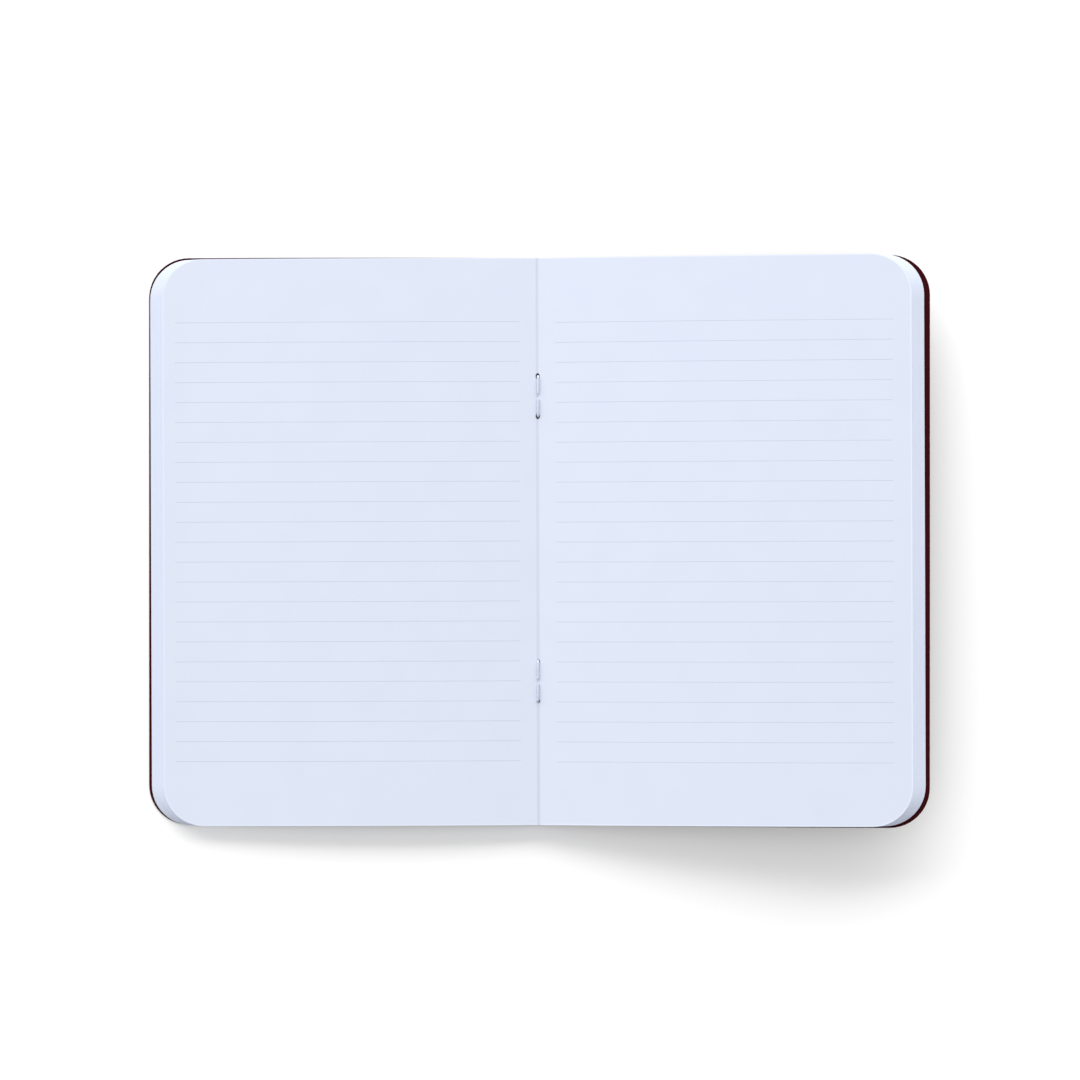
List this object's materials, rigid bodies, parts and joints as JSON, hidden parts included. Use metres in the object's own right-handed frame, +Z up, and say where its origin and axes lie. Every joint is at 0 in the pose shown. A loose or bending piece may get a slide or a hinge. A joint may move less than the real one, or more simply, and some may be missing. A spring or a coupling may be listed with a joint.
{
  "type": "pocket notebook",
  "caption": "Saddle-stitched pocket notebook lying open at its centre spread: ruled folded sheets in a card cover, held by two wire staples.",
  "frame": {"origin": "middle of the spine, on the surface that the notebook lies on", "axes": "+X from the fold to the right-hand fore-edge, +Y to the head of the page, +Z up out of the open spread"},
  "size_m": [0.1951, 0.1427, 0.0122],
  "materials": {
    "cover_card": "uncoated solid card, deep maroon",
    "paper": "smooth uncoated writing paper, finely ruled",
    "staple_wire": "galvanised stitching wire"
  },
  "bodies": {
    "spine_and_back": {"back_cover": "cover_card", "cover_spine": "cover_card", "upper_staple": "staple_wire", "lower_staple": "staple_wire", "sheet_01_fold": "paper", "sheet_02_fold": "paper", "sheet_03_fold": "paper", "sheet_04_fold": "paper", "sheet_05_fold": "paper", "sheet_06_fold": "paper", "sheet_07_fold": "paper", "sheet_08_fold": "paper", "sheet_09_fold": "paper", "sheet_10_fold": "paper", "sheet_11_fold": "paper", "sheet_12_fold": "paper", "sheet_13_fold": "paper", "sheet_14_fold": "paper", "sheet_15_fold": "paper", "sheet_16_fold": "paper"},
    "front_cover_panel": {"front_cover": "cover_card"},
    "sheet_01_left": {"sheet_01_left_leaf": "paper"},
    "sheet_02_left": {"sheet_02_left_leaf": "paper"},
    "sheet_03_left": {"sheet_03_left_leaf": "paper"},
    "sheet_04_left": {"sheet_04_left_leaf": "paper"},
    "sheet_05_left": {"sheet_05_left_leaf": "paper"},
    "sheet_06_left": {"sheet_06_left_leaf": "paper"},
    "sheet_07_left": {"sheet_07_left_leaf": "paper"},
    "sheet_08_left": {"sheet_08_left_leaf": "paper"},
    "sheet_09_left": {"sheet_09_left_leaf": "paper"},
    "sheet_10_left": {"sheet_10_left_leaf": "paper"},
    "sheet_11_left": {"sheet_11_left_leaf": "paper"},
    "sheet_12_left": {"sheet_12_left_leaf": "paper"},
    "sheet_13_left": {"sheet_13_left_leaf": "paper"},
    "sheet_14_left": {"sheet_14_left_leaf": "paper"},
    "sheet_15_left": {"sheet_15_left_leaf": "paper"},
    "sheet_16_left": {"sheet_16_left_leaf": "paper"},
    "sheet_01_right": {"sheet_01_right_leaf": "paper"},
    "sheet_02_right": {"sheet_02_right_leaf": "paper"},
    "sheet_03_right": {"sheet_03_right_leaf": "paper"},
    "sheet_04_right": {"sheet_04_right_leaf": "paper"},
    "sheet_05_right": {"sheet_05_right_leaf": "paper"},
    "sheet_06_right": {"sheet_06_right_leaf": "paper"},
    "sheet_07_right": {"sheet_07_right_leaf": "paper"},
    "sheet_08_right": {"sheet_08_right_leaf": "paper"},
    "sheet_09_right": {"sheet_09_right_leaf": "paper"},
    "sheet_10_right": {"sheet_10_right_leaf": "paper"},
    "sheet_11_right": {"sheet_11_right_leaf": "paper"},
    "sheet_12_right": {"sheet_12_right_leaf": "paper"},
    "sheet_13_right": {"sheet_13_right_leaf": "paper"},
    "sheet_14_right": {"sheet_14_right_leaf": "paper"},
    "sheet_15_right": {"sheet_15_right_leaf": "paper"},
    "sheet_16_right": {"sheet_16_right_leaf": "paper"}
  },
  "joints": [
    {"name": "front_cover_hinge", "type": "hinge", "parent": "spine_and_back", "child": "front_cover_panel", "pos_m": [-0.00013, 0, 0.00307], "axis": [0, -1, 0], "range_deg": [-166, 0]},
    {"name": "sheet_01_left_fold", "type": "hinge", "parent": "spine_and_back", "child": "sheet_01_left", "pos_m": [-0.00013, 0, 0.00307], "axis": [0, -1, 0], "range_deg": [-168.5, 0]},
    {"name": "sheet_02_left_fold", "type": "hinge", "parent": "spine_and_back", "child": "sheet_02_left", "pos_m": [-0.00013, 0, 0.00307], "axis": [0, -1, 0], "range_deg": [-168.4, 0]},
    {"name": "sheet_03_left_fold", "type": "hinge", "parent": "spine_and_back", "child": "sheet_03_left", "pos_m": [-0.00013, 0, 0.00307], "axis": [0, -1, 0], "range_deg": [-168.2, 0]},
    {"name": "sheet_04_left_fold", "type": "hinge", "parent": "spine_and_back", "child": "sheet_04_left", "pos_m": [-0.00013, 0, 0.00307], "axis": [0, -1, 0], "range_deg": [-168.1, 0]},
    {"name": "sheet_05_left_fold", "type": "hinge", "parent": "spine_and_back", "child": "sheet_05_left", "pos_m": [-0.00013, 0, 0.00307], "axis": [0, -1, 0], "range_deg": [-167.9, 0]},
    {"name": "sheet_06_left_fold", "type": "hinge", "parent": "spine_and_back", "child": "sheet_06_left", "pos_m": [-0.00013, 0, 0.00307], "axis": [0, -1, 0], "range_deg": [-167.8, 0]},
    {"name": "sheet_07_left_fold", "type": "hinge", "parent": "spine_and_back", "child": "sheet_07_left", "pos_m": [-0.00013, 0, 0.00307], "axis": [0, -1, 0], "range_deg": [-167.6, 0]},
    {"name": "sheet_08_left_fold", "type": "hinge", "parent": "spine_and_back", "child": "sheet_08_left", "pos_m": [-0.00013, 0, 0.00307], "axis": [0, -1, 0], "range_deg": [-167.4, 0]},
    {"name": "sheet_09_left_fold", "type": "hinge", "parent": "spine_and_back", "child": "sheet_09_left", "pos_m": [-0.00013, 0, 0.00307], "axis": [0, -1, 0], "range_deg": [-167.3, 0]},
    {"name": "sheet_10_left_fold", "type": "hinge", "parent": "spine_and_back", "child": "sheet_10_left", "pos_m": [-0.00013, 0, 0.00307], "axis": [0, -1, 0], "range_deg": [-167.1, 0]},
    {"name": "sheet_11_left_fold", "type": "hinge", "parent": "spine_and_back", "child": "sheet_11_left", "pos_m": [-0.00013, 0, 0.00307], "axis": [0, -1, 0], "range_deg": [-167, 0]},
    {"name": "sheet_12_left_fold", "type": "hinge", "parent": "spine_and_back", "child": "sheet_12_left", "pos_m": [-0.00013, 0, 0.00307], "axis": [0, -1, 0], "range_deg": [-166.8, 0]},
    {"name": "sheet_13_left_fold", "type": "hinge", "parent": "spine_and_back", "child": "sheet_13_left", "pos_m": [-0.00013, 0, 0.00307], "axis": [0, -1, 0], "range_deg": [-166.7, 0]},
    {"name": "sheet_14_left_fold", "type": "hinge", "parent": "spine_and_back", "child": "sheet_14_left", "pos_m": [-0.00013, 0, 0.00307], "axis": [0, -1, 0], "range_deg": [-166.5, 0]},
    {"name": "sheet_15_left_fold", "type": "hinge", "parent": "spine_and_back", "child": "sheet_15_left", "pos_m": [-0.00013, 0, 0.00307], "axis": [0, -1, 0], "range_deg": [-166.4, 0]},
    {"name": "sheet_16_left_fold", "type": "hinge", "parent": "spine_and_back", "child": "sheet_16_left", "pos_m": [-0.00013, 0, 0.00307], "axis": [0, -1, 0], "range_deg": [-166.2, 0]},
    {"name": "sheet_01_right_fold", "type": "hinge", "parent": "spine_and_back", "child": "sheet_01_right", "pos_m": [-0.00013, 0, 0.00307], "axis": [0, -1, 0], "range_deg": [0, 164]},
    {"name": "sheet_02_right_fold", "type": "hinge", "parent": "spine_and_back", "child": "sheet_02_right", "pos_m": [-0.00013, 0, 0.00307], "axis": [0, -1, 0], "range_deg": [0, 162.5]},
    {"name": "sheet_03_right_fold", "type": "hinge", "parent": "spine_and_back", "child": "sheet_03_right", "pos_m": [-0.00013, 0, 0.00307], "axis": [0, -1, 0], "range_deg": [0, 161]},
    {"name": "sheet_04_right_fold", "type": "hinge", "parent": "spine_and_back", "child": "sheet_04_right", "pos_m": [-0.00013, 0, 0.00307], "axis": [0, -1, 0], "range_deg": [0, 159.5]},
    {"name": "sheet_05_right_fold", "type": "hinge", "parent": "spine_and_back", "child": "sheet_05_right", "pos_m": [-0.00013, 0, 0.00307], "axis": [0, -1, 0], "range_deg": [0, 157.9]},
    {"name": "sheet_06_right_fold", "type": "hinge", "parent": "spine_and_back", "child": "sheet_06_right", "pos_m": [-0.00013, 0, 0.00307], "axis": [0, -1, 0], "range_deg": [0, 156.4]},
    {"name": "sheet_07_right_fold", "type": "hinge", "parent": "spine_and_back", "child": "sheet_07_right", "pos_m": [-0.00013, 0, 0.00307], "axis": [0, -1, 0], "range_deg": [0, 154.9]},
    {"name": "sheet_08_right_fold", "type": "hinge", "parent": "spine_and_back", "child": "sheet_08_right", "pos_m": [-0.00013, 0, 0.00307], "axis": [0, -1, 0], "range_deg": [0, 153.3]},
    {"name": "sheet_09_right_fold", "type": "hinge", "parent": "spine_and_back", "child": "sheet_09_right", "pos_m": [-0.00013, 0, 0.00307], "axis": [0, -1, 0], "range_deg": [0, 151.8]},
    {"name": "sheet_10_right_fold", "type": "hinge", "parent": "spine_and_back", "child": "sheet_10_right", "pos_m": [-0.00013, 0, 0.00307], "axis": [0, -1, 0], "range_deg": [0, 150.3]},
    {"name": "sheet_11_right_fold", "type": "hinge", "parent": "spine_and_back", "child": "sheet_11_right", "pos_m": [-0.00013, 0, 0.00307], "axis": [0, -1, 0], "range_deg": [0, 148.7]},
    {"name": "sheet_12_right_fold", "type": "hinge", "parent": "spine_and_back", "child": "sheet_12_right", "pos_m": [-0.00013, 0, 0.00307], "axis": [0, -1, 0], "range_deg": [0, 147.2]},
    {"name": "sheet_13_right_fold", "type": "hinge", "parent": "spine_and_back", "child": "sheet_13_right", "pos_m": [-0.00013, 0, 0.00307], "axis": [0, -1, 0], "range_deg": [0, 145.7]},
    {"name": "sheet_14_right_fold", "type": "hinge", "parent": "spine_and_back", "child": "sheet_14_right", "pos_m": [-0.00013, 0, 0.00307], "axis": [0, -1, 0], "range_deg": [0, 144.2]},
    {"name": "sheet_15_right_fold", "type": "hinge", "parent": "spine_and_back", "child": "sheet_15_right", "pos_m": [-0.00013, 0, 0.00307], "axis": [0, -1, 0], "range_deg": [0, 142.6]},
    {"name": "sheet_16_right_fold", "type": "hinge", "parent": "spine_and_back", "child": "sheet_16_right", "pos_m": [-0.00013, 0, 0.00307], "axis": [0, -1, 0], "range_deg": [0, 141.1]}
  ],
  "couplings": [
    {"joint": "sheet_01_left_fold", "follows": "front_cover_hinge", "ratio": 1.015},
    {"joint": "sheet_02_left_fold", "follows": "front_cover_hinge", "ratio": 1.0141},
    {"joint": "sheet_03_left_fold", "follows": "front_cover_hinge", "ratio": 1.0131},
    {"joint": "sheet_04_left_fold", "follows": "front_cover_hinge", "ratio": 1.0122},
    {"joint": "sheet_05_left_fold", "follows": "front_cover_hinge", "ratio": 1.0112},
    {"joint": "sheet_06_left_fold", "follows": "front_cover_hinge", "ratio": 1.0103},
    {"joint": "sheet_07_left_fold", "follows": "front_cover_hinge", "ratio": 1.0094},
    {"joint": "sheet_08_left_fold", "follows": "front_cover_hinge", "ratio": 1.0084},
    {"joint": "sheet_09_left_fold", "follows": "front_cover_hinge", "ratio": 1.0075},
    {"joint": "sheet_10_left_fold", "follows": "front_cover_hinge", "ratio": 1.0066},
    {"joint": "sheet_11_left_fold", "follows": "front_cover_hinge", "ratio": 1.0056},
    {"joint": "sheet_12_left_fold", "follows": "front_cover_hinge", "ratio": 1.0047},
    {"joint": "sheet_13_left_fold", "follows": "front_cover_hinge", "ratio": 1.0037},
    {"joint": "sheet_14_left_fold", "follows": "front_cover_hinge", "ratio": 1.0028},
    {"joint": "sheet_15_left_fold", "follows": "front_cover_hinge", "ratio": 1.0019},
    {"joint": "sheet_16_left_fold", "follows": "front_cover_hinge", "ratio": 1.0009},
    {"joint": "sheet_02_right_fold", "follows": "sheet_01_right_fold", "ratio": 0.9907},
    {"joint": "sheet_03_right_fold", "follows": "sheet_01_right_fold", "ratio": 0.9813},
    {"joint": "sheet_04_right_fold", "follows": "sheet_01_right_fold", "ratio": 0.972},
    {"joint": "sheet_05_right_fold", "follows": "sheet_01_right_fold", "ratio": 0.9627},
    {"joint": "sheet_06_right_fold", "follows": "sheet_01_right_fold", "ratio": 0.9533},
    {"joint": "sheet_07_right_fold", "follows": "sheet_01_right_fold", "ratio": 0.944},
    {"joint": "sheet_08_right_fold", "follows": "sheet_01_right_fold", "ratio": 0.9347},
    {"joint": "sheet_09_right_fold", "follows": "sheet_01_right_fold", "ratio": 0.9253},
    {"joint": "sheet_10_right_fold", "follows": "sheet_01_right_fold", "ratio": 0.916},
    {"joint": "sheet_11_right_fold", "follows": "sheet_01_right_fold", "ratio": 0.9067},
    {"joint": "sheet_12_right_fold", "follows": "sheet_01_right_fold", "ratio": 0.8973},
    {"joint": "sheet_13_right_fold", "follows": "sheet_01_right_fold", "ratio": 0.888},
    {"joint": "sheet_14_right_fold", "follows": "sheet_01_right_fold", "ratio": 0.8787},
    {"joint": "sheet_15_right_fold", "follows": "sheet_01_right_fold", "ratio": 0.8693},
    {"joint": "sheet_16_right_fold", "follows": "sheet_01_right_fold", "ratio": 0.86}
  ]
}
